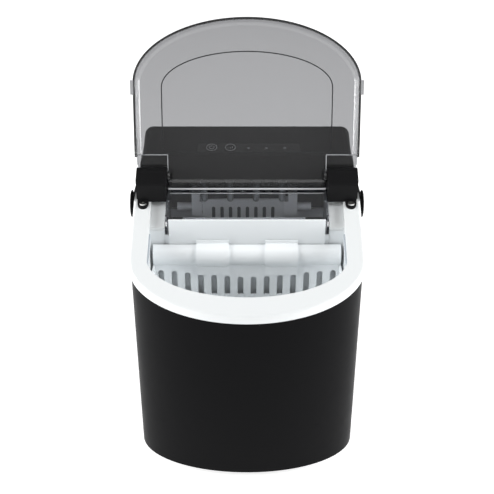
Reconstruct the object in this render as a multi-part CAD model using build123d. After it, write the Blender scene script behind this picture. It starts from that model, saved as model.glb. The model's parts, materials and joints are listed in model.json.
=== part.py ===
from build123d import *
import math
import os

# Countertop ice maker, drawn in millimetres: +X right, +Y to the rear, +Z up.
# Shapes are drawn with y = 0 where the straight sides meet the rounded front and z = 0 at the lower
# edge of the outer wrap. save() moves them to the row's origin, under the middle of the footprint.

# Body
BODY_HALF = 111.0          # half width of the outer wrap
BODY_BOW = 56.7            # how far the half-ellipse front reaches forward
BODY_REAR = 232.0          # rear face
SHEET = 1.5                # wrap thickness
WRAP_REAR = 206.0          # where the wrap ends and the rear panel starts
FOOT_H = 8.0
PLINTH = 3.0
HOUSING_Z = 251.0          # underside of the control housing
SLOPE_DEG = 24.56          # slope of the sloping front rim
SLOPE = math.tan(math.radians(SLOPE_DEG))
SEAM_Z = 214.0             # wrap's top edge at y = 0
RIM_Z = 223.0              # white frame's top plane at y = 0
FRAME_HALF = 112.6
FRAME_BOW = 58.3
MOUTH_HALF = 95.6          # opening inside the white frame
MOUTH_BOW = 40.0
BOARD_Y = 38.0             # ice chute's board
BOARD_HALF, BOARD_TOP = 76.8, 244.0
THROAT_HALF = 81.0         # chamber behind the board, half width
CHAMBER_REAR = 128.0
SHELF_DROP = 6.0
LINER_T = 2.4
LINER_FLOOR = 60.0

# Lid, in its closed place: s runs up the slope from the frame's tangent line, n is normal to it
HINGE_Y, HINGE_Z = 81.3, 268.4
OPEN_DEG = 131.9
LID_HALF = 111.3
LID_BOW = 62.7
LID_DEPTH = 20.0
LID_T = 2.2
LID_GAP = 0.4
SKIRT_END = 72.0
CORNER_END = 92.8
TONGUE_HALF = 79.2
PIN_R = 3.0
RUNNING_GAP = 0.08

# Control housing
HOUSING_FRONT = 100.2
HOUSING_EDGE_Z = 283.0
PANEL_SLOPE_DEG = 13.6
CREST_Y, BACK_Z = 147.0, 255.6
HOUSING_T = 2.5
EAR_FRONT = 61.0
EAR_INNER = 80.0
EAR_OUTER = 108.7
EAR_WIDE, EAR_STEP_Y = 110.2, 66.5
TAB_X, TAB_LENGTH, TAB_WIDTH = 103.0, 8.5, 11.0

# Handle
PIVOT_Y, PIVOT_Z = 74.0, 242.0
CAP_R, CAP_T = 13.8, 1.3
ARM_T, ARM_W = 2.4, 15.0
HANDLE_REACH = 169.0
HANDLE_DROP_DEG = 4.0

# Freezing unit
FINGER_PITCH = 26.8
FINGER_R = 3.5
FINGER_END_Z = 232.0
FINGER_Y = 97.0
UNIT_X = -4.0              # the freezing unit sits a little left of centre, beside its motor
SHAFT_Y, SHAFT_Z, SHAFT_R = 104.0, 222.3, 4.6
COMB_HALF = 42.5
COMB_TOP, COMB_BOTTOM, COMB_PITCH = 231.2, 206.0, 8.9
TRAY_Y, TRAY_Z, TRAY_R = 64.0, 222.0, 15.0

GRIP_REAR = 247.9          # rearmost point, the folded handle's grip
SHIFT = (0.0, (FRAME_BOW - GRIP_REAR) / 2, FOOT_H)
BIG = 400.0


def save(name, shape):
    """Move a finished sub-part to the row's frame and write its STEP file."""
    export_step(Pos(*SHIFT) * shape, f"parts/{name}.step")


def block(x0, x1, y0, y1, z0, z1):
    return Pos((x0 + x1) / 2, (y0 + y1) / 2, (z0 + z1) / 2) * Box(x1 - x0, y1 - y0, z1 - z0)


def rod_x(x0, x1, y, z, r):
    return Pos((x0 + x1) / 2, y, z) * Rot(0, 90, 0) * Cylinder(r, x1 - x0)


def rod_y(x, y0, y1, z, r):
    return Pos(x, (y0 + y1) / 2, z) * Rot(90, 0, 0) * Cylinder(r, y1 - y0)


def rod_z(x, y, z0, z1, r):
    return Pos(x, y, (z0 + z1) / 2) * Cylinder(r, z1 - z0)


def prism_x(points, x0, x1):
    """Polygon of (y, z) points carried from x0 to x1."""
    face = Plane.YZ.offset(x0) * make_face(Polyline(*points, close=True))
    return extrude(face, amount=x1 - x0)


def mirrored(shape):
    """The shape and its mirror image across the middle plane, as one group."""
    return Compound(children=[shape, mirror(shape, Plane.YZ)])


def group(shapes):
    return Compound(children=list(shapes))


def d_face(half, bow, rear, corner=0.0):
    """Half-ellipse front, straight sides and a straight rear with rounded corners."""
    nose = EllipticalCenterArc((0, 0), half, bow, start_angle=180, arc_size=180)
    if corner:
        right = Line((half, 0), (half, rear - corner))
        bend_r = RadiusArc((half, rear - corner), (half - corner, rear), -corner)
        back = Line((half - corner, rear), (corner - half, rear))
        bend_l = RadiusArc((corner - half, rear), (-half, rear - corner), -corner)
        left = Line((-half, rear - corner), (-half, 0))
        return make_face([nose, right, bend_r, back, bend_l, left])
    sides = Polyline((half, 0), (half, rear), (-half, rear), (-half, 0))
    return make_face([nose, sides])


def d_solid(half, bow, rear, z0, z1, corner=0.0):
    return extrude(Pos(0, 0, z0) * d_face(half, bow, rear, corner), amount=z1 - z0)


def under_slope(z_at_0, top=BIG):
    """Everything below the plane z = z_at_0 + slope * y, and below top."""
    y_top = (top - z_at_0) / SLOPE
    points = [(-BIG, -BIG), (BIG, -BIG), (BIG, top), (y_top, top), (-BIG, z_at_0 - SLOPE * BIG)]
    return prism_x(points, -BIG, BIG)


def closed_to_open(shape):
    """Turn a piece drawn on the closed lid to the open rest pose about the lid's hinge."""
    return Pos(0, HINGE_Y, HINGE_Z) * Rot(-OPEN_DEG, 0, 0) * Pos(0, -HINGE_Y, -HINGE_Z) * shape


def on_lid_plane(shape):
    """Place a shape drawn with y = s and z = n on the closed lid's sloping plane."""
    return Pos(0, 0, RIM_Z) * Rot(SLOPE_DEG, 0, 0) * shape


COS_SLOPE = math.cos(math.radians(SLOPE_DEG))
SIN_SLOPE = math.sin(math.radians(SLOPE_DEG))
HINGE_S = HINGE_Y * COS_SLOPE + (HINGE_Z - RIM_Z) * SIN_SLOPE
HINGE_N = (HINGE_Z - RIM_Z) * COS_SLOPE - HINGE_Y * SIN_SLOPE


# ---------------------------------------------------------------- casing

def outer_wrap():
    """Painted sheet round the front and both sides, with its top edge cut to the slope."""
    shell = d_solid(BODY_HALF, BODY_BOW, WRAP_REAR, 0, HOUSING_Z)
    shell -= d_solid(BODY_HALF - SHEET, BODY_BOW - SHEET, WRAP_REAR + 1, -1, HOUSING_Z + 1)
    shell &= under_slope(SEAM_Z, HOUSING_Z)
    return shell - rod_x(-BIG, BIG, PIVOT_Y, PIVOT_Z, 12.4)


def rear_panel():
    """Moulded rear with rounded corners, cooling slots, cord hole and drain hole."""
    half, t = BODY_HALF, 2.5
    shell = d_solid(half, BODY_BOW, BODY_REAR, 0, HOUSING_Z, 22) - block(-BIG, BIG, -BIG, WRAP_REAR, -1, BIG)
    hollow = d_solid(half - t, BODY_BOW, BODY_REAR - t, 0, HOUSING_Z + 1, 20)
    shell -= hollow - block(-BIG, BIG, -BIG, -1, -1, BIG)
    slots = [block(8, 92, 225, 240, z, z + 4) for z in range(38, 138, 9)]
    slots += [block(-92, -20, 225, 240, z, z + 4) for z in range(146, 218, 9)]
    shell -= group(slots)
    shell -= rod_y(-78, 225, 240, 32, 6.0)
    return shell - rod_y(60, 225, 240, 18, 7.0)


def base_pan():
    """Floor tray with a shallow plinth that carries the feet."""
    pan = d_solid(108.1, 54.9, 229, 0, 3, 19.5)
    pan += d_solid(106, 51.5, 225, -PLINTH, 0, 18)
    pan -= group(block(-40, 40, y, y + 4, -5, 5) for y in range(30, 94, 9))
    return pan - rod_z(0, 12, -5, 5, 1.7)


def rubber_feet():
    """Four soft feet under the plinth."""
    pads = [rod_z(x, y, -FOOT_H, -PLINTH, 11) for x in (-78, 78) for y in (0, 195)]
    return group(pads)


def top_frame():
    """White rim round the mouth, with the two side shelves beside the freezing chamber."""
    ring = d_solid(FRAME_HALF, FRAME_BOW, 84.2, 150, HOUSING_Z)
    ring &= under_slope(RIM_Z, HOUSING_Z)
    ring -= under_slope(SEAM_Z, HOUSING_Z + 30)
    ring = fillet(outer_rim_edges(ring), 2.6)
    ring -= d_solid(MOUTH_HALF, MOUTH_BOW, BOARD_Y, 100, 300)
    ring -= block(-THROAT_HALF, THROAT_HALF, BOARD_Y - 1, 90, 100, 300)
    side = block(THROAT_HALF - 1, MOUTH_HALF, BOARD_Y - 0.01, 90, 100, 300) - under_slope(RIM_Z - SHELF_DROP)
    ring -= mirrored(side)
    boss = rod_x(105, FRAME_HALF - 1, PIVOT_Y, PIVOT_Z, 12) - block(100, 120, 0, 100, HOUSING_Z, 300)
    ring += mirrored(boss)
    ring -= rod_x(-BIG, BIG, PIVOT_Y, PIVOT_Z, 4 + RUNNING_GAP)
    screws = rod_z(TAB_X, EAR_FRONT - 4.5, 225, 260, 1.25)
    return ring - mirrored(screws)


def outer_rim_edges(ring):
    """The top outer edge of the sloping rim: the half ellipse and both straight sides."""
    keep = []
    for edge in ring.edges():
        middle = edge @ 0.5
        on_top = abs(middle.Z - (RIM_Z + SLOPE * middle.Y)) < 0.6
        at_side = abs(abs(middle.X) - FRAME_HALF) < 0.5
        in_front = abs(middle.X) < 1 and middle.Y < 0
        if on_top and (at_side or in_front):
            keep.append(edge)
    return keep


def liner_outline(grow, z0, z1):
    """The tub's plan: wide round the basket, narrower beside the freezing chamber."""
    front = d_solid(MOUTH_HALF - 0.2 + grow, MOUTH_BOW + 0.7 + grow, BOARD_Y + grow, z0, z1)
    return front + block(-THROAT_HALF - grow, THROAT_HALF + grow, 0, CHAMBER_REAR + grow, z0, z1)


def inner_liner():
    """Water-tight tub: ice space in front, freezing chamber behind and reservoir at the bottom."""
    tub = liner_outline(LINER_T, LINER_FLOOR - LINER_T, 250)
    tub &= under_slope(SEAM_Z - 0.3, 250)
    tub -= liner_outline(0, LINER_FLOOR, 260)
    tub += mirrored(block(86, MOUTH_HALF, -8, 24, 140, BASKET_FLOOR - 0.3))
    return tub - rod_z(0, 12, 50, 70, 5)


def ice_chute():
    """Board between the freezing chamber and the ice space, with a returned lower edge."""
    board = block(-BOARD_HALF, BOARD_HALF, BOARD_Y - 2, BOARD_Y + 0.4, 200, BOARD_TOP)
    board = fillet(board.edges().filter_by(Axis.X).group_by(Axis.Z)[-1], 0.9)
    return board + block(-BOARD_HALF - 4, BOARD_HALF + 4, BOARD_Y - 0.4, BOARD_Y + 2, 152, 226)


def foam_insulation():
    """Foamed block that fills the space between the wrap and the tub."""
    foam = d_solid(108.8, 54.4, 134, 6, 205)
    foam &= under_slope(SEAM_Z - 8, 205)
    return foam - liner_outline(LINER_T + 0.4, LINER_FLOOR - LINER_T - 0.4, 260) - rod_z(0, 12, 0, 70, 8)


def mouth_seal():
    """Soft grey seal pressed round the inside of the frame's mouth."""
    ring = d_solid(MOUTH_HALF - 0.1, MOUTH_BOW - 0.1, 30, 150, 300)
    ring -= d_solid(MOUTH_HALF - 1.4, MOUTH_BOW - 1.4, 31, 149, 301)
    ring &= under_slope(RIM_Z - 5)
    return ring - under_slope(RIM_Z - 8)


# ---------------------------------------------------------------- control housing

def housing_mass(inset):
    """Rounded black hood: panel rising to a crest, long back falling to the rear, narrower at the top."""
    front, rear = HOUSING_FRONT + inset, BODY_REAR - inset
    half = BODY_HALF - 0.8 - inset
    edge_z = HOUSING_EDGE_Z - inset
    top = edge_z + math.tan(math.radians(PANEL_SLOPE_DEG)) * (CREST_Y - HOUSING_FRONT)
    plan = d_solid(half, 1, rear, HOUSING_Z - 1, 320, 22 - inset)
    plan -= block(-BIG, BIG, -BIG, front - 4, 200, BIG)
    foot = (front - (3.2 if inset == 0 else 0), 200)
    corners = [foot, (front, edge_z), (CREST_Y, top + 0.6), (195, 272.4 - inset), (rear, BACK_Z - inset), (rear, 200)]
    profile = Pos(0, 0, 0) * make_face(Polyline(*corners, close=True))
    crest = [v for v in profile.vertices() if abs(v.X - CREST_Y) < 0.1]
    bend = [v for v in profile.vertices() if abs(v.X - 195) < 0.1]
    profile = fillet(bend, 120)
    side = extrude(Plane.YZ.offset(-BIG) * profile, amount=2 * BIG)
    pts = [(-half, 200), (-half, 255), (-half + 5, 310), (half - 5, 310), (half, 255), (half, 200)]
    flank = extrude(Plane.XZ.offset(-BIG) * make_face(Polyline(*pts, close=True)), amount=2 * BIG)
    return plan & side & flank


def rounded_sides(body, radius):
    """Round the hood's long side edges, along the panel, the crest and the back."""
    keep = []
    for edge in body.edges():
        middle, box = edge @ 0.5, edge.bounding_box()
        along = box.max.Y - box.min.Y > 5 and box.max.X - box.min.X < 8
        if along and middle.Z > 258 and HOUSING_FRONT < middle.Y < BODY_REAR - 25:
            keep.append(edge)
    return fillet(keep, radius)


def ear():
    """Right ear: carries one lid hinge pin and the screw tab in front of it."""
    clear = (LID_DEPTH - LID_T - 1.0) / math.cos(math.radians(SLOPE_DEG))
    barrel_r = LID_DEPTH - LID_T - HINGE_N - 0.8
    flat = prism_x([(EAR_FRONT, HOUSING_Z), (EAR_FRONT, RIM_Z + SLOPE * EAR_FRONT + clear - 1.0),
                    (EAR_FRONT + 1.4, RIM_Z + SLOPE * (EAR_FRONT + 1.4) + clear),
                    (HINGE_Y - 4, RIM_Z + SLOPE * (HINGE_Y - 4) + clear), (HINGE_Y, HINGE_Z),
                    (HINGE_Y + barrel_r, HINGE_Z), (HINGE_Y + barrel_r, 260), (HOUSING_FRONT + 1, 260),
                    (HOUSING_FRONT + 1, HOUSING_Z)], EAR_INNER, EAR_WIDE)
    body = flat + rod_x(EAR_INNER, EAR_WIDE, HINGE_Y, HINGE_Z, barrel_r)
    body -= block(EAR_OUTER, EAR_WIDE + 1, 0, EAR_STEP_Y, 240, 300)
    tab_r = TAB_WIDTH / 2
    tip = EAR_FRONT - TAB_LENGTH + tab_r
    tab = rod_z(TAB_X, tip, 240, 253, tab_r)
    tab += block(TAB_X - tab_r, TAB_X + tab_r, tip, EAR_FRONT, 240, 253)
    tab &= under_slope(RIM_Z + 2.4)
    tab -= under_slope(RIM_Z)
    body += tab
    seat = RIM_Z + SLOPE * (EAR_FRONT - 4.5) + 1.9
    body -= rod_z(TAB_X, EAR_FRONT - 4.5, 240, 262, 1.6)
    body -= rod_z(TAB_X, EAR_FRONT - 4.5, seat, 262, 3.7) & block(0, 200, 0, EAR_FRONT, 200, 300)
    return body - rod_x(EAR_INNER - 1, EAR_INNER + 8, HINGE_Y, HINGE_Z, PIN_R)


def panel_place(x, y, lift=0.0):
    """A place on the sloping control panel, its local +Z along the panel's normal."""
    z = HOUSING_EDGE_Z + math.tan(math.radians(PANEL_SLOPE_DEG)) * (y - HOUSING_FRONT)
    return Pos(x, y, z) * Rot(PANEL_SLOPE_DEG, 0, 0) * Pos(0, 0, lift)


KEY_Y = 112.5
KEY_X = (-36.0, -17.0)
KEY_R = 6.4
LED_X = (1.5, 20.0, 38.5)
FRONT_FINGERS = [UNIT_X + FINGER_PITCH * (i - 1.5) for i in range(4)]
REAR_FINGERS = [UNIT_X + FINGER_PITCH * (i - 2) for i in range(5)]


def control_housing():
    """Hood shell with both ears, and openings for the keys and the lamps."""
    outer = rounded_sides(housing_mass(0), 9)
    inner = rounded_sides(housing_mass(HOUSING_T), 6.5)
    shell = outer - inner - block(-BIG, BIG, -BIG, BIG, 200, HOUSING_Z)
    right = ear()
    shell = shell + right + mirror(right, Plane.YZ)
    shell -= panel_place(2.0, KEY_Y + 0.5) * Box(105, 14.4, 1.2)
    for x in KEY_X:
        shell -= panel_place(x, KEY_Y) * Cylinder(KEY_R + 0.4, 12)
    for x in LED_X:
        shell -= panel_place(x, KEY_Y) * Cylinder(1.6, 12)
    for x in FRONT_FINGERS:
        shell -= block(x - 4.5, x + 4.5, 90, 104, 250, 255.5)
    return shell


def control_overlay():
    """Thin glossy strip let into the panel, with holes for keys and lamps."""
    strip = panel_place(2.0, KEY_Y + 0.5, -0.3) * Box(104.6, 14.0, 0.6)
    for x in KEY_X:
        strip -= panel_place(x, KEY_Y) * Cylinder(KEY_R + 0.4, 6)
    for x in LED_X:
        strip -= panel_place(x, KEY_Y) * Cylinder(1.6, 6)
    return strip


def key(x):
    """Round key cap on a short stem, standing a little above the panel."""
    cap = panel_place(x, KEY_Y, -0.9) * Cylinder(KEY_R, 3.4)
    stem = panel_place(x, KEY_Y, -4.6) * Cylinder(2.2, 4.0)
    return cap + stem


def indicator_leds():
    """Three lamp pipes that end flush with the strip."""
    return group(panel_place(x, KEY_Y, -2.6) * Cylinder(1.55, 5.0) for x in LED_X)


def control_board():
    """Circuit board under the panel, with two key switches."""
    board = panel_place(2.0, KEY_Y + 2, -10.2) * Box(112, 22, 1.6)
    for x in KEY_X:
        board += panel_place(x, KEY_Y, -8.6) * Box(6, 6, 2.2)
    return board


def housing_screws():
    """Two screws through the tabs into the frame."""
    y = EAR_FRONT - 4.5
    seat = RIM_Z + SLOPE * y + 1.9
    screw = rod_z(TAB_X, y, seat, seat + 1.6, 3.4) + rod_z(TAB_X, y, 238, seat + 0.5, 1.2)
    screw -= Pos(TAB_X, y, seat + 1.6) * Box(4.2, 1.0, 1.6)
    screw -= Pos(TAB_X, y, seat + 1.6) * Box(1.0, 4.2, 1.6)
    return mirrored(screw)


def hinge_pins():
    """Two steel pins from the ears into the lid's lugs."""
    return mirrored(rod_x(TONGUE_HALF - 2.6, EAR_INNER + 8, HINGE_Y, HINGE_Z, PIN_R))


# ---------------------------------------------------------------- lid

def on_top(edge, height, rear):
    """Whether an edge lies at the given height, in front of the given rear line."""
    middle = edge @ 0.5
    return abs(middle.Z - height) < 0.1 and middle.Y < rear


def lid_closed():
    """Smoked tray: flat top, rounded shoulders, skirt stopped short of the ears, curled hinge tongue."""
    depth, t = LID_DEPTH, LID_T
    outer = d_solid(LID_HALF, LID_BOW, CORNER_END, LID_GAP, depth, 14)
    top_front = [e for e in outer.edges() if on_top(e, depth, CORNER_END - 16)]
    outer = fillet(top_front, 9)
    inner = d_solid(LID_HALF - t, LID_BOW - t, CORNER_END + 5, LID_GAP - 1, depth - t)
    inner_top = [e for e in inner.edges() if on_top(e, depth - t, CORNER_END)]
    shell = outer - fillet(inner_top, 7)
    shell -= block(-BIG, BIG, SKIRT_END, BIG, -1, depth - t)
    corners = d_solid(LID_HALF, LID_BOW, CORNER_END, depth - t, depth, 14)
    shell += corners & block(-BIG, BIG, SKIRT_END, BIG, 0, BIG)
    arc_r = depth - HINGE_N
    plate = block(-TONGUE_HALF, TONGUE_HALF, CORNER_END - 20, HINGE_S, depth - t, depth)
    curl = rod_x(-TONGUE_HALF, TONGUE_HALF, HINGE_S, HINGE_N, arc_r)
    curl -= rod_x(-BIG, BIG, HINGE_S, HINGE_N, arc_r - t)
    curl &= block(-BIG, BIG, HINGE_S, BIG, HINGE_N, BIG)
    curl += block(-TONGUE_HALF, TONGUE_HALF, HINGE_S + arc_r - t, HINGE_S + arc_r, HINGE_N - 5, HINGE_N)
    shell += plate + curl
    for side in (-1, 1):
        x0, x1 = sorted((side * (TONGUE_HALF - 2.2), side * TONGUE_HALF))
        shell += rod_x(x0, x1, HINGE_S, HINGE_N, 6)
        shell += block(x0, x1, HINGE_S - 6, HINGE_S + 6, HINGE_N, depth - t + 0.5)
        tab0, tab1 = sorted((side * (LID_HALF - 1), side * (LID_HALF + 2.6)))
        shell += block(tab0, tab1, -3, 11, LID_GAP + 1, 8)
    shell -= rod_x(-TONGUE_HALF - 1, TONGUE_HALF + 1, HINGE_S, HINGE_N, PIN_R + RUNNING_GAP)
    groove = d_solid(85.4, 35.4, 65.4, depth - 0.5, depth + 1, 6.4)
    groove -= d_solid(84.6, 34.6, 64.6, depth - 1, depth + 2, 5.6)
    return shell - Pos(0, 5, 0) * groove


def lid():
    return closed_to_open(on_lid_plane(lid_closed()))


# ---------------------------------------------------------------- carry handle

def carry_handle():
    """U-shaped bail: two flat arms outside the casing and a bar behind it."""
    x_in = BODY_HALF + 2.0
    arm = block(x_in, x_in + ARM_T, -ARM_W / 2, HANDLE_REACH, -ARM_W / 2, ARM_W / 2)
    arm += rod_x(x_in, x_in + ARM_T, 0, 0, ARM_W / 2 + 2)
    arm += rod_x(FRAME_HALF - 4.5, x_in + 0.5, 0, 0, 4)
    bar = block(-x_in - ARM_T, x_in + ARM_T, HANDLE_REACH - ARM_T, HANDLE_REACH, -ARM_W / 2, ARM_W / 2)
    body = fillet((bar + arm + mirror(arm, Plane.YZ)).edges().filter_by(Axis.Z).group_by(Axis.Y)[-1], 3)
    return Pos(0, PIVOT_Y, PIVOT_Z) * Rot(-HANDLE_DROP_DEG, 0, 0) * body


def handle_grip():
    """Soft sleeve on the back of the bar."""
    sleeve = block(-48, 48, HANDLE_REACH, HANDLE_REACH + 5, -ARM_W / 2 - 1, ARM_W / 2 + 1)
    sleeve = fillet(sleeve.edges().filter_by(Axis.X), 2.4)
    return Pos(0, PIVOT_Y, PIVOT_Z) * Rot(-HANDLE_DROP_DEG, 0, 0) * sleeve


def pivot_caps():
    """Domed round covers over the handle's pivots."""
    x = BODY_HALF + 2.0 + ARM_T
    cap = rod_x(x, x + CAP_T, PIVOT_Y, PIVOT_Z, CAP_R)
    cap = fillet(cap.edges().group_by(Axis.X)[-1], 0.9)
    return mirrored(cap)


# ---------------------------------------------------------------- ice basket

BASKET_HALF, BASKET_BOW, BASKET_FLOOR = 93.2, 37.6, 152.0
BASKET_T = 1.8
BASKET_REAR = 31.0
LIP_Y, LIP_Z, LIP_R = 35.2, 206.0, 11.0
SLOT_COUNT, SLOT_PITCH, SLOT_W = 14, 13.2, 5.8


def basket_lip(x0, x1, r):
    """Half-round lip along the basket's rear wall, hollow behind, between x0 and x1."""
    lip = rod_x(x0, x1, LIP_Y, LIP_Z, r) - rod_x(x0 - 1, x1 + 1, LIP_Y, LIP_Z, LIP_R - 2)
    return lip - block(x0 - 1, x1 + 1, LIP_Y, 80, 150, 260)


def ice_basket():
    """Lift-out ice bin: D plan, slotted rear wall under a rounded lip, two straps, drained floor."""
    t = BASKET_T
    outer = d_solid(BASKET_HALF, BASKET_BOW, BASKET_REAR, BASKET_FLOOR, 240)
    inner = d_solid(BASKET_HALF - t, BASKET_BOW - t, BASKET_REAR - t, BASKET_FLOOR + t, 250)
    shell = (outer - inner) & under_slope(RIM_Z - 12, 198)
    for i in range(SLOT_COUNT):
        x = SLOT_PITCH * (i - (SLOT_COUNT - 1) / 2)
        top = 191 - 8 * (1 - (x / BASKET_HALF) ** 2) ** 2
        shell -= block(x - SLOT_W / 2, x + SLOT_W / 2, 24, 40, 162, top - SLOT_W / 2)
        shell -= rod_y(x, 24, 40, top - SLOT_W / 2, SLOT_W / 2)
    holes = [rod_z(x, y, 140, 160, 3.2) for x in range(-66, 67, 22) for y in (-16, 2)]
    shell -= group(holes)
    lip = basket_lip(-BASKET_HALF + 0.6, BASKET_HALF - 0.6, LIP_R)
    for x in (-50, 18):
        lip += basket_lip(x, x + 32, LIP_R + 1.8)
        lip += block(x, x + 32, LIP_Y - 1.0, LIP_Y, LIP_Z + LIP_R - 1, LIP_Z + LIP_R + 5)
        lip += block(x, x + 32, 27.6, 29.4, 186, 200)
    return shell + lip


# ---------------------------------------------------------------- freezing unit

def ice_guard():
    """Smoked guard over the freezing chamber: sloping window with two side flanges."""
    window = prism_x([(42, 240.5), (60.6, 250.3), (60.6, 252.3), (41, 242.0)], -80.4, 80.4)
    window += prism_x([(60.6, 250.3), (70, 255.2), (70, 257.2), (60.6, 252.3)], -77.4, 77.4)
    flange = prism_x([(41, 224), (43, 223), (60.6, 232), (60.6, 251), (42, 241.2)], 78.8, 80.4)
    return window + flange + mirror(flange, Plane.YZ)


def freezing_fingers():
    """Nine plated fingers that hang from the evaporator in two rows, rounded at their ends."""
    fingers = []
    for y, xs, top in ((FINGER_Y, FRONT_FINGERS, 254.8), (FINGER_Y + 18, REAR_FINGERS, 249.2)):
        for x in xs:
            tip = Pos(x, y, FINGER_END_Z + FINGER_R) * Sphere(FINGER_R)
            fingers.append(rod_z(x, y, FINGER_END_Z + FINGER_R, top, FINGER_R) + tip)
    return group(fingers)


def evaporator_tube():
    """Flat evaporator body behind the hood's front wall, with an arm to each front finger."""
    body = block(UNIT_X - 60, UNIT_X + 60, SHAFT_Y, FINGER_Y + 24, 249.2, 256.0)
    for x in FRONT_FINGERS:
        body += block(x - 2.2, x + 2.2, FINGER_Y + FINGER_R - 0.4, SHAFT_Y, 250.4, 254.4)
        body -= rod_z(x, FINGER_Y, 240, 260, FINGER_R)
    return body


def ice_shovel():
    """Comb with eight slots that sweeps the ice forward, with a stiffening rib behind it."""
    x0, x1 = UNIT_X - COMB_HALF, UNIT_X + COMB_HALF
    comb = block(x0, x1, SHAFT_Y - 1.3, SHAFT_Y + 1.2, COMB_BOTTOM, COMB_TOP)
    for i in range(8):
        x = UNIT_X + COMB_PITCH * (i - 3.5)
        comb -= block(x - 1.8, x + 1.8, 90, 110, 200, SHAFT_Z - 1.6)
        comb -= rod_y(x, 90, 110, SHAFT_Z - 1.6, 1.8)
    return comb + block(x0, x1, SHAFT_Y + 1.0, SHAFT_Y + 4.0, 225, 229)


def shovel_shaft():
    """Stub shafts at both ends of the comb, running in the brackets."""
    left = rod_x(-73, UNIT_X - COMB_HALF, SHAFT_Y, SHAFT_Z, SHAFT_R)
    right = rod_x(UNIT_X + COMB_HALF, 67, SHAFT_Y, SHAFT_Z, SHAFT_R)
    return group([left, right])


def shovel_brackets():
    """Stepped bearing blocks at both ends of the comb, each on an arm to the tub's wall."""
    blocks = []
    left = (-57.4, -47.0, -57.4, -49.0, -THROAT_HALF)
    right = (39.0, 52.2, 43.0, 52.2, THROAT_HALF)
    for x0, x1, top0, top1, wall in (left, right):
        piece = block(x0, x1, SHAFT_Y - 6.6, SHAFT_Y + 6.6, 215, 231.4)
        piece += block(top0, top1, SHAFT_Y - 6.6, SHAFT_Y + 6.6, 231.4, 240)
        lo, hi = sorted(((x0 + x1) / 2, wall))
        piece += block(lo, hi, SHAFT_Y + 5.5, SHAFT_Y + 9, 206, 216)
        piece += block(x0, x1, SHAFT_Y + 5.5, SHAFT_Y + 9, 206, 220)
        blocks.append(piece - rod_x(x0 - 1, x1 + 1, SHAFT_Y, SHAFT_Z, SHAFT_R + RUNNING_GAP))
    return group(blocks)


def water_tray():
    """Half-round trough with closed ends and a pivot stub at each end."""
    trough = rod_x(-66, 60, TRAY_Y, TRAY_Z, TRAY_R + 1.5) - rod_x(-64.5, 58.5, TRAY_Y, TRAY_Z, TRAY_R)
    trough -= block(-80, 80, 0, 120, TRAY_Z, 260)
    stubs = [rod_x(-76, -64.6, TRAY_Y, TRAY_Z - 4, 3), rod_x(58.6, 76, TRAY_Y, TRAY_Z - 4, 3)]
    return trough + stubs[0] + stubs[1]


def tray_bearings():
    """Two bearing plates on the tub's side walls for the tray's stubs."""
    plate = block(71, THROAT_HALF, TRAY_Y - 6, TRAY_Y + 6, TRAY_Z - 12, TRAY_Z + 3)
    return mirrored(plate) - rod_x(-78, 78, TRAY_Y, TRAY_Z - 4, 3 + RUNNING_GAP)


def ice_sensors():
    """Infra-red sender and receiver that tell when the basket is full."""
    return mirrored(rod_x(78.2, THROAT_HALF, 50, 216, 3.2))


def level_float():
    """Ring float on its stem in the reservoir."""
    stem = rod_z(45, 60, LINER_FLOOR, 96, 2.2)
    return stem + (rod_z(45, 60, 66, 82, 9) - rod_z(45, 60, 60, 90, 4)) + rod_z(45, 60, 94, 97, 5)


# ---------------------------------------------------------------- machine space

COMP_X, COMP_Y = -55.0, 182.0
FAN_X, FAN_Z = 52.0, 88.0


def compressor():
    """Sealed compressor: domed can on a foot plate with three tube stubs."""
    can = rod_z(COMP_X, COMP_Y, 14, 138, 42)
    can = fillet(can.edges().filter_by(GeomType.CIRCLE), 16)
    plate = block(COMP_X - 46, COMP_X + 46, COMP_Y - 34, COMP_Y + 34, 12, 15)
    for dx in (-38, 38):
        for dy in (-27, 27):
            plate -= rod_z(COMP_X + dx, COMP_Y + dy, 5, 20, 4)
    stub = rod_z(COMP_X + 20, COMP_Y, 130, 150, 4)
    return can + plate + stub


def compressor_grommets():
    """Rubber mounts under the foot plate."""
    spots = [(COMP_X + dx, COMP_Y + dy) for dx in (-38, 38) for dy in (-27, 27)]
    return group(rod_z(x, y, 3, 12, 7) + rod_z(x, y, 12, 18, 3.8) for x, y in spots)


def condenser_fins():
    """Stack of cooling fins inside the rear slots."""
    fins = [block(12, 94, 206, 222, z, z + 1.2) for z in range(40, 138, 6)]
    ends = block(9.5, 12.5, 206, 222, 34, 142) + block(93.5, 96.5, 206, 222, 34, 142)
    return ends + fins


def condenser_coil():
    """Copper passes through the fins."""
    return group(rod_x(6, 100, 214, z, 2.4) for z in range(49, 134, 12))


def fan_frame():
    """Square frame with a round duct and a four-arm motor seat."""
    frame = block(FAN_X - 44, FAN_X + 44, 176, 200, FAN_Z - 48, FAN_Z + 48)
    frame -= rod_y(FAN_X, 170, 210, FAN_Z, 42)
    frame += block(FAN_X - 43, FAN_X + 43, 176, 178.5, FAN_Z - 3, FAN_Z + 3)
    frame += block(FAN_X - 3, FAN_X + 3, 176, 178.5, FAN_Z - 47, FAN_Z + 47)
    frame += block(FAN_X - 20, FAN_X + 20, 176, 200, 3, FAN_Z - 47)
    return frame


def fan_motor():
    """Motor seated on the frame's cross, with its shaft to the rear."""
    return rod_y(FAN_X, 178.5, 185, FAN_Z, 14) + rod_y(FAN_X, 185, 198, FAN_Z, 2)


def fan_blades():
    """Hub with seven raked blades."""
    hub = rod_y(FAN_X, 186, 197, FAN_Z, 13)
    blade = Pos(25, 191.5, 0) * Rot(32, 0, 0) * Box(30, 1.6, 14)
    for i in range(7):
        hub += Pos(FAN_X, 0, FAN_Z) * Rot(0, 360 / 7 * i, 0) * blade
    return hub - rod_y(FAN_X, 180, 199, FAN_Z, 2 + RUNNING_GAP)


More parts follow.
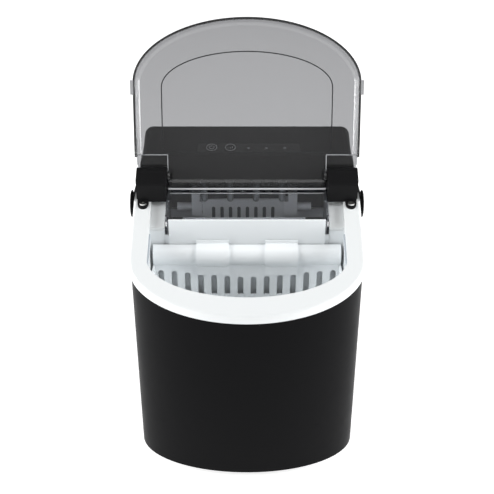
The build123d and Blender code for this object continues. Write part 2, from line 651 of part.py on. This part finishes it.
def water_pump():
    """Small pump behind the tub, low down."""
    body = rod_z(78, 150, 12, 46, 13) + block(62, 94, 137, 163, 3, 12)
    return body + rod_z(78, 150, 46, 56, 3.5)


def water_hose():
    """Hose from the pump up to the freezing chamber."""
    path = FilletPolyline((78, 150, 56), (78, 150, 92), (99, 150, 116), (99, 150, 238), (74, 150, 238),
                          (74, 131, 238), radius=9)
    return sweep(Plane(path @ 0, z_dir=path % 0) * Circle(4), path=path)


def tray_motor():
    """Geared motor that turns the shovel and the tray, on the tub's rear wall."""
    gear_case = block(-66, -26, 134, 156, 190, 232)
    return gear_case + rod_y(-46, 156, 178, 211, 17)


def power_board():
    """Supply board on posts behind the tub."""
    board = block(-8, 92, 142, 143.6, 158, 226)
    board += block(4, 28, 143.6, 162, 168, 190) + block(40, 62, 143.6, 156, 196, 216)
    for z in (166, 218):
        board += rod_y(-3, 135, 142, z, 3) + rod_y(58, 135, 142, z, 3)
    return board


def filter_drier():
    """Drier bottle in the refrigerant line."""
    bottle = rod_z(-6, 196, 152, 212, 9)
    return fillet(bottle.edges().filter_by(GeomType.CIRCLE), 5)


def refrigerant_lines():
    """Copper lines from the compressor and condenser up to the evaporator."""
    routes = [
        [(COMP_X + 20, COMP_Y, 150), (COMP_X + 20, COMP_Y, 253), (COMP_X + 20, FINGER_Y + 24, 253)],
        [(-6, 196, 212), (-6, 196, 253), (-6, FINGER_Y + 24, 253)],
    ]
    lines = []
    for route in routes:
        path = FilletPolyline(*route, radius=12)
        lines.append(sweep(Plane(path @ 0, z_dir=path % 0) * Circle(2.4), path=path))
    return group(lines)


def cord_gland():
    """Round gland for the supply cord in the rear panel."""
    body = rod_y(-78, 222, 236, 32, 5.8) + rod_y(-78, BODY_REAR, 236, 32, 9)
    return body - rod_y(-78, 215, 240, 32, 3.2)


def drain_spout():
    """Drain pipe through the rear panel, with a plugged end."""
    return rod_y(60, 200, 236, 18, 6.8) - rod_y(60, 190, 240, 18, 4.5)


def drain_plug():
    """Push-in plug with a finger rib."""
    plug = rod_y(60, 226, 236.4, 18, 4.2) + rod_y(60, 236.4, 239, 18, 8)
    return plug + block(58.5, 61.5, 239, 245, 11, 25)


def rear_screws():
    """Four screws through the rear panel's corners."""
    spots = [(x, z) for x in (-84, 84) for z in (20, 236)]
    return group(rod_y(x, 226, BODY_REAR + 1.2, z, 1.8) + rod_y(x, BODY_REAR, BODY_REAR + 1.2, z, 3.6)
                 for x, z in spots)


os.makedirs("parts", exist_ok=True)
PARTS = {
    "outer_wrap": outer_wrap, "rear_panel": rear_panel, "base_pan": base_pan, "rubber_feet": rubber_feet,
    "top_frame": top_frame, "inner_liner": inner_liner, "ice_chute": ice_chute,
    "foam_insulation": foam_insulation, "mouth_seal": mouth_seal, "control_housing": control_housing,
    "control_overlay": control_overlay, "indicator_leds": indicator_leds, "control_board": control_board,
    "housing_screws": housing_screws, "hinge_pins": hinge_pins, "lid": lid, "carry_handle": carry_handle,
    "handle_grip": handle_grip, "pivot_caps": pivot_caps, "ice_basket": ice_basket, "ice_guard": ice_guard,
    "freezing_fingers": freezing_fingers, "evaporator_tube": evaporator_tube, "ice_shovel": ice_shovel,
    "shovel_shaft": shovel_shaft, "shovel_brackets": shovel_brackets, "water_tray": water_tray,
    "tray_bearings": tray_bearings, "ice_sensors": ice_sensors, "level_float": level_float,
    "compressor": compressor, "compressor_grommets": compressor_grommets, "condenser_fins": condenser_fins,
    "condenser_coil": condenser_coil, "fan_frame": fan_frame, "fan_motor": fan_motor,
    "fan_blades": fan_blades, "water_pump": water_pump, "water_hose": water_hose, "tray_motor": tray_motor,
    "power_board": power_board, "filter_drier": filter_drier, "refrigerant_lines": refrigerant_lines,
    "cord_gland": cord_gland, "drain_spout": drain_spout, "drain_plug": drain_plug,
    "rear_screws": rear_screws,
}
for node_name, make in PARTS.items():
    save(node_name, make())
save("power_key", key(KEY_X[0]))
save("select_key", key(KEY_X[1]))
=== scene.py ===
import json
import math

import bpy
import numpy as np
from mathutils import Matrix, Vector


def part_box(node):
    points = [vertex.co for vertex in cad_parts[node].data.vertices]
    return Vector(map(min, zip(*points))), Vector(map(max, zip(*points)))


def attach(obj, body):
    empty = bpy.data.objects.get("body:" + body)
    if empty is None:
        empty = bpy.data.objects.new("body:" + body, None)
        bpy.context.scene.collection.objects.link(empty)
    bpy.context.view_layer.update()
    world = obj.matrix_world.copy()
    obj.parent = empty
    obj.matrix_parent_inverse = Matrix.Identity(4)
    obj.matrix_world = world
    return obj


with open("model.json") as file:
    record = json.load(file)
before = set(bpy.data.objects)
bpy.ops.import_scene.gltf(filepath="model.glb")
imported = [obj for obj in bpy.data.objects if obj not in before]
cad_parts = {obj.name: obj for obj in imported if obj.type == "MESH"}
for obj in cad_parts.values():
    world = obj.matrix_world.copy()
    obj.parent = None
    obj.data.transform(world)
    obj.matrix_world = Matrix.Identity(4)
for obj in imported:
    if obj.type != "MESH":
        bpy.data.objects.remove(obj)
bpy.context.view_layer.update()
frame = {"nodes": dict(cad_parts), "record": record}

NODES = frame["nodes"]
MM = 0.001

# Lengths below are in millimetres in the body's own drawing: y = 0 where the straight sides meet the
# rounded front, z = 0 at the wrap's lower edge. place() turns them into metres in the shared frame.
BODY_BOW = 56.7
WRAP_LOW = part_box("outer_wrap")[0]
SHIFT_Y = WRAP_LOW.y / MM + BODY_BOW
SHIFT_Z = WRAP_LOW.z / MM
SLOPE_DEG = 24.56                       # slope of the mouth, and of the closed lid
CHAMBER_Y = 41.0                        # front of the freezing chamber
PANEL_DEG, PANEL_Y, PANEL_Z = 13.6, 100.2, 283.0
KEY_Y = 112.5
PRINT_LIFT = 0.83                       # a key's face above the panel, with the print on it
HINGE_Y, HINGE_Z = 81.3, 268.4
HINGE_S, HINGE_N = 92.8, 7.5            # the hinge along and off the closed lid's plane
OPEN_DEG = 131.9
LID_HALF, LID_DEPTH, SKIRT_END, TONGUE_HALF = 111.3, 20.0, 72.0, 79.2


def place(points):
    """Drawing millimetres to metres in the shared frame: a shift, then a scale."""
    return (np.asarray(points, float) + np.array([0.0, SHIFT_Y, SHIFT_Z])) * MM


# ---------------------------------------------------------------- camera, light and floor

CAMERA_Y, CAMERA_Z = -729.67, 670.9     # millimetres in the drawing, on the middle plane
CAMERA_DOWN_DEG = 30.85
SENSOR = 36.0
LENS = SENSOR * 900.0 / 494.0


def make_camera():
    """A camera on the middle plane, in front of and above the machine."""
    data = bpy.data.cameras.new("camera")
    data.sensor_width = SENSOR
    data.lens = LENS
    data.clip_start = 0.01
    camera = bpy.data.objects.new("camera", data)
    camera.location = place([[0, CAMERA_Y, CAMERA_Z]])[0]
    camera.rotation_euler = (math.radians(90 - CAMERA_DOWN_DEG), 0, 0)
    bpy.context.scene.collection.objects.link(camera)
    bpy.context.scene.camera = camera


def soft_light(name, spot, aim, size, power):
    """A square area light at spot, facing aim, both in metres."""
    data = bpy.data.lights.new(name, "AREA")
    data.size = size
    data.energy = power
    lamp = bpy.data.objects.new(name, data)
    lamp.location = spot
    direction = np.array(aim, float) - np.array(spot, float)
    flat = math.hypot(direction[0], direction[1])
    turn = math.atan2(direction[0], -direction[1]) + math.pi
    lamp.rotation_euler = (math.atan2(flat, -direction[2]), 0, turn)
    bpy.context.scene.collection.objects.link(lamp)


def make_studio():
    """White surroundings, soft lamps at both sides and above, and a pale floor."""
    world = bpy.data.worlds.new("studio")
    world.use_nodes = True
    world.node_tree.nodes["Background"].inputs["Color"].default_value = (1, 1, 1, 1)
    world.node_tree.nodes["Background"].inputs["Strength"].default_value = 0.4
    bpy.context.scene.world = world
    bpy.context.scene.view_settings.view_transform = "Standard"
    soft_light("side_left", (-1.7, -0.25, 0.7), (0, 0, 0.15), 1.1, 44)
    soft_light("side_right", (1.7, -0.25, 0.7), (0, 0, 0.15), 1.1, 44)
    soft_light("top", (0, -0.5, 2.0), (0, 0, 0.2), 1.2, 5)
    size = 14.0
    floor = bpy.data.meshes.new("floor")
    corners = [(-size, -size, 0), (size, -size, 0), (size, size, 0), (-size, size, 0)]
    floor.from_pydata(corners, [], [(0, 1, 2, 3)])
    floor_object = bpy.data.objects.new("floor", floor)
    bpy.context.scene.collection.objects.link(floor_object)
    material = bpy.data.materials.new("floor_paper")
    material.use_nodes = True
    paper = material.node_tree.nodes["Principled BSDF"]
    paper.inputs["Base Color"].default_value = (0.6, 0.6, 0.6, 1)
    paper.inputs["Roughness"].default_value = 0.9
    paper.inputs["Specular IOR Level"].default_value = 0.0
    paper.inputs["Emission Color"].default_value = (1, 1, 1, 1)
    paper.inputs["Emission Strength"].default_value = 0.75
    floor.materials.append(material)


# ---------------------------------------------------------------- shared shader groups

def new_group(name, inputs, outputs):
    """An empty shader group with float or colour sockets."""
    group = bpy.data.node_groups.new(name, "ShaderNodeTree")
    for label, kind, value in inputs:
        socket = group.interface.new_socket(label, in_out="INPUT", socket_type=kind)
        socket.default_value = value
    for label, kind in outputs:
        group.interface.new_socket(label, in_out="OUTPUT", socket_type=kind)
    enter = group.nodes.new("NodeGroupInput")
    leave = group.nodes.new("NodeGroupOutput")
    return group, enter, leave


def noise_node(tree, coords, scale, detail=3.0, rough=0.55):
    """The value of a noise texture; scale is a number or a socket."""
    node = tree.nodes.new("ShaderNodeTexNoise")
    node.inputs["Detail"].default_value = detail
    node.inputs["Roughness"].default_value = rough
    if isinstance(scale, (int, float)):
        node.inputs["Scale"].default_value = scale
    else:
        tree.links.new(scale, node.inputs["Scale"])
    tree.links.new(coords, node.inputs["Vector"])
    return node.outputs["Fac"]


def map_range(tree, value, low, high, to_low, to_high):
    """Rescale value from low..high to to_low..to_high; each bound is a number or a socket."""
    node = tree.nodes.new("ShaderNodeMapRange")
    tree.links.new(value, node.inputs["Value"])
    for label, bound in (("From Min", low), ("From Max", high), ("To Min", to_low), ("To Max", to_high)):
        if isinstance(bound, (int, float)):
            node.inputs[label].default_value = bound
        else:
            tree.links.new(bound, node.inputs[label])
    return node.outputs["Result"]


def moulding_group():
    """Spark-eroded mould grain, slow colour drift and patchy gloss, all on object coordinates."""
    group, enter, leave = new_group(
        "moulding",
        [("Color", "NodeSocketColor", (0.8, 0.8, 0.8, 1)), ("Grain Scale", "NodeSocketFloat", 900.0),
         ("Drift", "NodeSocketFloat", 0.04), ("Roughness", "NodeSocketFloat", 0.4)],
        [("Color", "NodeSocketColor"), ("Roughness", "NodeSocketFloat"), ("Height", "NodeSocketFloat")])
    coords = group.nodes.new("ShaderNodeTexCoord").outputs["Object"]
    grain = noise_node(group, coords, enter.outputs["Grain Scale"], 4.0, 0.6)
    slow = noise_node(group, coords, 9.0, 2.0)
    patchy = noise_node(group, coords, 38.0, 5.0, 0.7)
    shade = group.nodes.new("ShaderNodeMath")
    shade.operation = "MULTIPLY_ADD"
    group.links.new(slow, shade.inputs[0])
    group.links.new(enter.outputs["Drift"], shade.inputs[1])
    shade.inputs[2].default_value = 1.0
    centred = group.nodes.new("ShaderNodeMath")
    centred.operation = "MULTIPLY_ADD"
    group.links.new(enter.outputs["Drift"], centred.inputs[0])
    centred.inputs[1].default_value = -0.5
    group.links.new(shade.outputs[0], centred.inputs[2])
    tint = group.nodes.new("ShaderNodeVectorMath")
    tint.operation = "SCALE"
    group.links.new(enter.outputs["Color"], tint.inputs[0])
    group.links.new(centred.outputs[0], tint.inputs["Scale"])
    gloss = map_range(group, patchy, 0.3, 0.7, 0.92, 1.08)
    rough = group.nodes.new("ShaderNodeMath")
    rough.operation = "MULTIPLY"
    group.links.new(enter.outputs["Roughness"], rough.inputs[0])
    group.links.new(gloss, rough.inputs[1])
    group.links.new(tint.outputs[0], leave.inputs["Color"])
    group.links.new(rough.outputs[0], leave.inputs["Roughness"])
    group.links.new(grain, leave.inputs["Height"])
    return group


def wear_group():
    """Fine hairline scuffs and specks of dust as a mask: stretched noise lines and small dots."""
    group, enter, leave = new_group(
        "handling", [("Amount", "NodeSocketFloat", 0.3)], [("Mask", "NodeSocketFloat")])
    coords = group.nodes.new("ShaderNodeTexCoord").outputs["Object"]
    stretch = group.nodes.new("ShaderNodeMapping")
    stretch.inputs["Scale"].default_value = (30.0, 30.0, 700.0)
    stretch.inputs["Rotation"].default_value = (0.3, 0.9, 0.2)
    group.links.new(coords, stretch.inputs["Vector"])
    lines = map_range(group, noise_node(group, stretch.outputs[0], 1.0, 2.0), 0.66, 0.74, 0.0, 1.0)
    places = map_range(group, noise_node(group, coords, 16.0, 3.0), 0.5, 0.62, 0.0, 1.0)
    both = group.nodes.new("ShaderNodeMath")
    both.operation = "MULTIPLY"
    group.links.new(lines, both.inputs[0])
    group.links.new(places, both.inputs[1])
    scaled = group.nodes.new("ShaderNodeMath")
    scaled.operation = "MULTIPLY"
    group.links.new(both.outputs[0], scaled.inputs[0])
    group.links.new(enter.outputs["Amount"], scaled.inputs[1])
    group.links.new(scaled.outputs[0], leave.inputs["Mask"])
    return group


MOULDING = moulding_group()
HANDLING = wear_group()


# ---------------------------------------------------------------- finishes

def blank_material(name):
    """A new material, its node tree and its shader."""
    material = bpy.data.materials.new(name)
    material.use_nodes = True
    return material, material.node_tree, material.node_tree.nodes["Principled BSDF"]


def add_bump(tree, shader, height, distance):
    """Relief from a height value, distance metres deep."""
    bump = tree.nodes.new("ShaderNodeBump")
    bump.inputs["Distance"].default_value = distance
    tree.links.new(height, bump.inputs["Height"])
    tree.links.new(bump.outputs["Normal"], shader.inputs["Normal"])


def moulded(name, colour, rough, grain=900.0, depth=0.00002, drift=0.04, specular=0.5, coat=0.0):
    """Moulded or painted finish: grain bump, colour drift, patchy gloss and faint scuffs."""
    material, tree, shader = blank_material(name)
    base = tree.nodes.new("ShaderNodeGroup")
    base.node_tree = MOULDING
    base.inputs["Color"].default_value = (*colour, 1)
    base.inputs["Grain Scale"].default_value = grain
    base.inputs["Drift"].default_value = drift
    base.inputs["Roughness"].default_value = rough
    wear = tree.nodes.new("ShaderNodeGroup")
    wear.node_tree = HANDLING
    wear.inputs["Amount"].default_value = 0.15
    scuffed = tree.nodes.new("ShaderNodeMath")
    scuffed.operation = "MULTIPLY_ADD"
    tree.links.new(wear.outputs["Mask"], scuffed.inputs[0])
    scuffed.inputs[1].default_value = 0.25
    tree.links.new(base.outputs["Roughness"], scuffed.inputs[2])
    tree.links.new(base.outputs["Color"], shader.inputs["Base Color"])
    tree.links.new(scuffed.outputs[0], shader.inputs["Roughness"])
    shader.inputs["Specular IOR Level"].default_value = specular
    shader.inputs["Coat Weight"].default_value = coat
    shader.inputs["Coat Roughness"].default_value = 0.08
    add_bump(tree, shader, base.outputs["Height"], depth)
    return material


def smoked(name, colour, clear=1.0):
    """Smoked clear plastic with hairline scuffs; clear below 1 adds a little haze."""
    material, tree, shader = blank_material(name)
    wear = tree.nodes.new("ShaderNodeGroup")
    wear.node_tree = HANDLING
    wear.inputs["Amount"].default_value = 0.5
    gloss = map_range(tree, wear.outputs["Mask"], 0.0, 1.0, 0.03, 0.13)
    tree.links.new(gloss, shader.inputs["Roughness"])
    shader.inputs["Base Color"].default_value = (*colour, 1)
    shader.inputs["Transmission Weight"].default_value = clear
    shader.inputs["IOR"].default_value = 1.47
    return material


def brushed(name, colour, rough, direction=(20.0, 20.0, 900.0)):
    """Drawn or plated metal with fine lines along one way."""
    material, tree, shader = blank_material(name)
    coords = tree.nodes.new("ShaderNodeTexCoord").outputs["Object"]
    stretch = tree.nodes.new("ShaderNodeMapping")
    stretch.inputs["Scale"].default_value = direction
    tree.links.new(coords, stretch.inputs["Vector"])
    lines = noise_node(tree, stretch.outputs[0], 1.0, 4.0)
    tone = tree.nodes.new("ShaderNodeValToRGB")
    tone.color_ramp.elements[0].color = (*[c * 0.8 for c in colour], 1)
    tone.color_ramp.elements[1].color = (*colour, 1)
    tree.links.new(lines, tone.inputs["Fac"])
    tree.links.new(tone.outputs["Color"], shader.inputs["Base Color"])
    tree.links.new(map_range(tree, lines, 0.2, 0.8, rough * 0.8, rough * 1.25), shader.inputs["Roughness"])
    shader.inputs["Metallic"].default_value = 1.0
    add_bump(tree, shader, lines, 0.00001)
    return material


def liner_with_painted_chamber_shade():
    """Pale tub moulding; behind the chute the colour turns to a painted dark grey that stands for the shade
    inside the freezing chamber.
    """
    material = moulded("liner_plastic", (0.74, 0.77, 0.785), 0.36, 700, 0.000004, 0.02)
    tree = material.node_tree
    shader = tree.nodes["Principled BSDF"]
    pale = shader.inputs["Base Color"].links[0].from_socket
    split = tree.nodes.new("ShaderNodeSeparateXYZ")
    tree.links.new(tree.nodes.new("ShaderNodeTexCoord").outputs["Object"], split.inputs[0])
    edge = (CHAMBER_Y + SHIFT_Y) * MM
    # mask for the painted shade: it turns on just behind the freezing chamber's front edge
    behind = map_range(tree, split.outputs["Y"], edge, edge + 0.001, 0.0, 1.0)
    mix = tree.nodes.new("ShaderNodeMix")
    mix.data_type = "RGBA"
    tree.links.new(behind, mix.inputs["Factor"])
    tree.links.new(pale, mix.inputs["A"])
    # painted shade: this dark grey stands for the shadow inside the freezing chamber, not a colour of the
    # lining
    mix.inputs["B"].default_value = (0.2, 0.215, 0.24, 1)
    tree.links.new(mix.outputs["Result"], shader.inputs["Base Color"])
    return material


FINISH = {
    "black_paint": moulded("black_paint", (0.0012, 0.0012, 0.0017), 0.42, 1500, 0.000004, 0.1, 0.066),
    "black_plastic": moulded("black_plastic", (0.0045, 0.0045, 0.005), 0.45, 1500, 0.000001, 0.1, 0.12),
    "white_plastic": moulded("white_plastic", (0.7, 0.72, 0.725), 0.4, 700, 0.000004, 0.02, 0.3),
    "liner_plastic": liner_with_painted_chamber_shade(),
    "basket_plastic": moulded("basket_plastic", (0.83, 0.86, 0.875), 0.3, 600, 0.000004, 0.02),
    "smoked_lid": smoked("smoked_lid", (0.33, 0.333, 0.342), 0.95),
    "smoked_guard": smoked("smoked_guard", (0.96, 0.97, 0.99)),
    "grey_plastic": moulded("grey_plastic", (0.8, 0.82, 0.85), 0.4, 800, 0.000006, 0.04),
    "foam": moulded("foam", (0.8, 0.72, 0.5), 0.9, 260, 0.0004, 0.15),
    "seal_rubber": moulded("seal_rubber", (0.42, 0.46, 0.5), 0.6, 900, 0.00003, 0.05),
    "foot_rubber": moulded("foot_rubber", (0.012, 0.012, 0.012), 0.75, 500, 0.00005, 0.1),
    "overlay": moulded("overlay", (0.006, 0.006, 0.007), 0.2, 1500, 0.000002, 0.05, 0.35, 0.15),
    "key_plastic": moulded("key_plastic", (0.008, 0.008, 0.009), 0.35, 1500, 0.000004, 0.05, 0.3),
    "lamp": moulded("lamp", (0.45, 0.48, 0.5), 0.25, 900, 0.000004, 0.05),
    "circuit": moulded("circuit", (0.02, 0.14, 0.05), 0.4, 700, 0.00003, 0.2),
    "screw_steel": brushed("screw_steel", (0.62, 0.62, 0.6), 0.3),
    "nickel": brushed("nickel", (0.5, 0.52, 0.54), 0.3),
    "compressor_paint": moulded("compressor_paint", (0.01, 0.01, 0.011), 0.25, 500, 0.00004, 0.1, 0.5, 0.3),
    "fin_aluminium": brushed("fin_aluminium", (0.72, 0.73, 0.74), 0.35, (900.0, 20.0, 20.0)),
    "copper": brushed("copper", (0.72, 0.38, 0.22), 0.3),
    "hose_silicone": moulded("hose_silicone", (0.7, 0.71, 0.69), 0.45, 500, 0.00003, 0.05),
}


def dress_cad_nodes():
    """Give every CAD node the finish of its material slot."""
    for entry in frame["record"]["subparts"]:
        node = NODES[entry["node"]]
        node.data.materials.clear()
        node.data.materials.append(FINISH[entry["material_slot"]])


# ---------------------------------------------------------------- added surfaces

def new_piece(name, points, faces, material, body):
    """A smooth mesh from drawing points and quads, riding on a CAD body."""
    mesh = bpy.data.meshes.new(name)
    mesh.from_pydata(place(points).tolist(), [], np.asarray(faces).tolist())
    mesh.polygons.foreach_set("use_smooth", np.ones(len(mesh.polygons), bool))
    mesh.materials.append(material)
    piece = bpy.data.objects.new(name, mesh)
    bpy.context.scene.collection.objects.link(piece)
    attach(piece, body)
    return piece


def ring_faces(rows, columns, wrap_rows=True, wrap_columns=True):
    """Quads joining a grid of rows by columns, closed along either way when asked."""
    i = np.arange(rows if wrap_rows else rows - 1)
    j = np.arange(columns if wrap_columns else columns - 1)
    a, b = np.meshgrid(i, j, indexing="ij")
    a, b = a.ravel(), b.ravel()
    c, d = (a + 1) % rows, (b + 1) % columns
    return np.stack([a * columns + b, c * columns + b, c * columns + d, a * columns + d], 1)


def d_loop(half, bow, rear, corner, start=0.0):
    """A D outline in plan: half an ellipse in front of start, straight sides, two rounded rear corners."""
    t = np.linspace(0, np.pi, 121)
    front = np.stack([half * np.cos(t), start - bow * np.sin(t)], 1)
    q = np.linspace(0, np.pi / 2, 13)
    left = np.stack([-half + corner - corner * np.cos(q), rear - corner + corner * np.sin(q)], 1)
    right = np.stack([half - corner + corner * np.sin(q), rear - corner + corner * np.cos(q)], 1)
    return np.concatenate([front, left, right])


def on_open_lid(across, along, normal):
    """Closed-lid coordinates to the open rest place: turned about the hinge by the opening angle."""
    back = np.radians(OPEN_DEG - SLOPE_DEG)
    reach, lift = HINGE_S - along, normal - HINGE_N
    y = HINGE_Y + reach * -np.cos(back) + lift * np.sin(back)
    z = HINGE_Z + reach * np.sin(back) + lift * np.cos(back)
    return np.stack([across, y, z], -1)


def lid_line(name, loop, closed, normal, width, height, finish):
    """A moulded line on the lid: an ellipse of the given width and height carried along a path."""
    step = np.gradient(loop, axis=0)
    if closed:
        step = np.roll(loop, -1, 0) - np.roll(loop, 1, 0)
    step /= np.linalg.norm(step, axis=1, keepdims=True)
    side = np.stack([step[:, 1], -step[:, 0]], 1)
    turn = np.linspace(0, 2 * np.pi, 8, endpoint=False)
    across = loop[:, None, 0] + side[:, None, 0] * width * np.cos(turn)
    along = loop[:, None, 1] + side[:, None, 1] * width * np.cos(turn)
    rise = np.broadcast_to(normal + height * np.sin(turn), across.shape)
    points = on_open_lid(across, along, rise).reshape(-1, 3)
    return new_piece(name, points, ring_faces(len(loop), len(turn), closed), finish, "lid")


def corner_highlight_lines():
    """Painted highlights along the edges of the lid's corner plates: along the skirt's end, down the
    tongue, round the corner.
    """
    q = np.linspace(0, np.pi / 2, 13)
    bend = np.stack([LID_HALF - 14 + 13.4 * np.cos(q), HINGE_S - 14 + 13.4 * np.sin(q)], 1)
    inner = TONGUE_HALF + 0.8
    for side, name in ((1, "right"), (-1, "left")):
        outer = np.concatenate([[[LID_HALF - 0.6, SKIRT_END]], bend, [[inner, HINGE_S - 0.6]]])
        across = np.array([[LID_HALF - 0.6, SKIRT_END], [95.0, SKIRT_END], [inner, SKIRT_END]])
        down = np.array([[inner, SKIRT_END], [inner, 82.0], [inner, HINGE_S - 0.6]])
        for part, path in (("outer", outer), ("across", across), ("down", down)):
            label = "plate_%s_%s" % (part, name)
            lid_line(label, path * [side, 1], False, LID_DEPTH - 2.1, 0.45, 0.15, PAINTED_HIGHLIGHT_FINISH)


def tongue_highlight_lines():
    """Painted highlights, as light grey rods along the end of the lid's curled tongue and along the rear
    edge of the guard.
    """
    x = np.linspace(-TONGUE_HALF + 0.6, TONGUE_HALF - 0.6, 9)
    turn = np.linspace(0, 2 * np.pi, 10, endpoint=False)
    across, c = np.meshgrid(x, turn, indexing="ij")
    end = on_open_lid(across, HINGE_S + LID_DEPTH - HINGE_N - 1.1 + 1.0 * np.cos(c), 2.6 + 0.7 * np.sin(c))
    faces = ring_faces(len(x), len(turn), False)
    new_piece("tongue_edge_highlight", end.reshape(-1, 3), faces, PAINTED_HIGHLIGHT_FINISH, "lid")
    rim = np.stack([across * 76.6 / x.max(), 69.2 + 0.6 * np.cos(c), 255.9 + 0.6 * np.sin(c)], -1)
    new_piece("guard_edge_highlight", rim.reshape(-1, 3), faces, PAINTED_HIGHLIGHT_FINISH, "casing")


def on_panel(across, along, lift):
    """Points on the sloping control panel: across, up the slope from the keys' row, and off its face."""
    a = np.radians(PANEL_DEG)
    base = PANEL_Z + np.tan(a) * (KEY_Y - PANEL_Y)
    y = KEY_Y + along * np.cos(a) - lift * np.sin(a)
    z = base + along * np.sin(a) + lift * np.cos(a)
    return np.stack([across, y, z], -1)


def printed_stroke(name, path, closed, width, lift, body):
    """A printed line on the panel: a flat strip of the given width centred on the path."""
    step = np.gradient(path, axis=0)
    if closed:
        step = np.roll(path, -1, 0) - np.roll(path, 1, 0)
    step /= np.linalg.norm(step, axis=1, keepdims=True)
    side = np.stack([step[:, 1], -step[:, 0]], 1) * width / 2
    edges = np.stack([path - side, path + side], 1)
    points = on_panel(edges[..., 0], edges[..., 1], np.full(edges.shape[:2], lift)).reshape(-1, 3)
    faces = ring_faces(len(path), 2, closed, False)
    return new_piece(name, points, faces, PRINT_FINISH, body)


def arc_path(x, y, r, start, end, count=48):
    """Points on a circle of radius r about (x, y), from one angle to another in degrees."""
    t = np.radians(np.linspace(start, end, count))
    return np.stack([x + r * np.cos(t), y + r * np.sin(t)], 1)


def print_panel():
    """Key rings, a power mark, a three-bar size mark, and the strip's thin outline."""
    for body, name in (("power_key", "power"), ("select_key", "select")):
        low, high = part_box(body)
        x = (low.x + high.x) / 2 / MM
        printed_stroke(name + "_ring", arc_path(x, 0, 5.2, 0, 352.5), True, 0.75, PRINT_LIFT, body)
        if name == "power":
            printed_stroke("power_arc", arc_path(x, 0, 2.4, 125, 415), False, 0.75, PRINT_LIFT, body)
            printed_stroke("power_bar", np.array([[x, 0.9], [x, 3.3]]), False, 0.75, PRINT_LIFT, body)
        else:
            for i, tall in enumerate((1.0, 1.9, 2.8)):
                across = x + 2.0 * (i - 1)
                bar = np.array([[across, -1.6], [across, -1.6 + tall]])
                printed_stroke("select_bar_%d" % i, bar, False, 0.8, PRINT_LIFT, body)
    low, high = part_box("control_overlay")
    half, mid = (high.x - low.x) / 2 / MM - 1.4, (high.x + low.x) / 2 / MM
    q = np.linspace(0, np.pi / 2, 9)
    tall, r = 5.6, 1.6
    centres = ((1, 1, 0), (-1, 1, 1), (-1, -1, 2), (1, -1, 3))
    loop = [np.stack([mid + sx * (half - r) + r * np.cos(q + k * np.pi / 2),
                      0.5 + sy * (tall - r) + r * np.sin(q + k * np.pi / 2)], 1) for sx, sy, k in centres]
    outline = printed_stroke("strip_outline", np.concatenate(loop), True, 0.5, 0.04, "casing")
    outline.data.materials[0] = FAINT_FINISH


LINE_FINISH = moulded("lid_line", (0.07, 0.07, 0.08), 0.25, 1500, 0.000002, 0.05, 0.3)
# painted highlight: light grey finish for rods that stand for light caught along the lid's edges and the
# guard's rear edge
PAINTED_HIGHLIGHT_FINISH = moulded("lid_painted_highlight", (0.5, 0.51, 0.53), 0.2, 1500, 0.000002, 0.05, 0.5)
PRINT_FINISH = moulded("key_print", (0.86, 0.88, 0.9), 0.5, 1500, 0.000002, 0.05)
FAINT_FINISH = moulded("strip_print", (0.13, 0.135, 0.14), 0.5, 1500, 0.000002, 0.05)

make_camera()
make_studio()
dress_cad_nodes()
lid_line("lid_groove", d_loop(85.0, 35.0, 70.0, 6.0, 5.0), True, LID_DEPTH - 0.15, 0.55, 0.12, LINE_FINISH)
corner_highlight_lines()
tongue_highlight_lines()
print_panel()
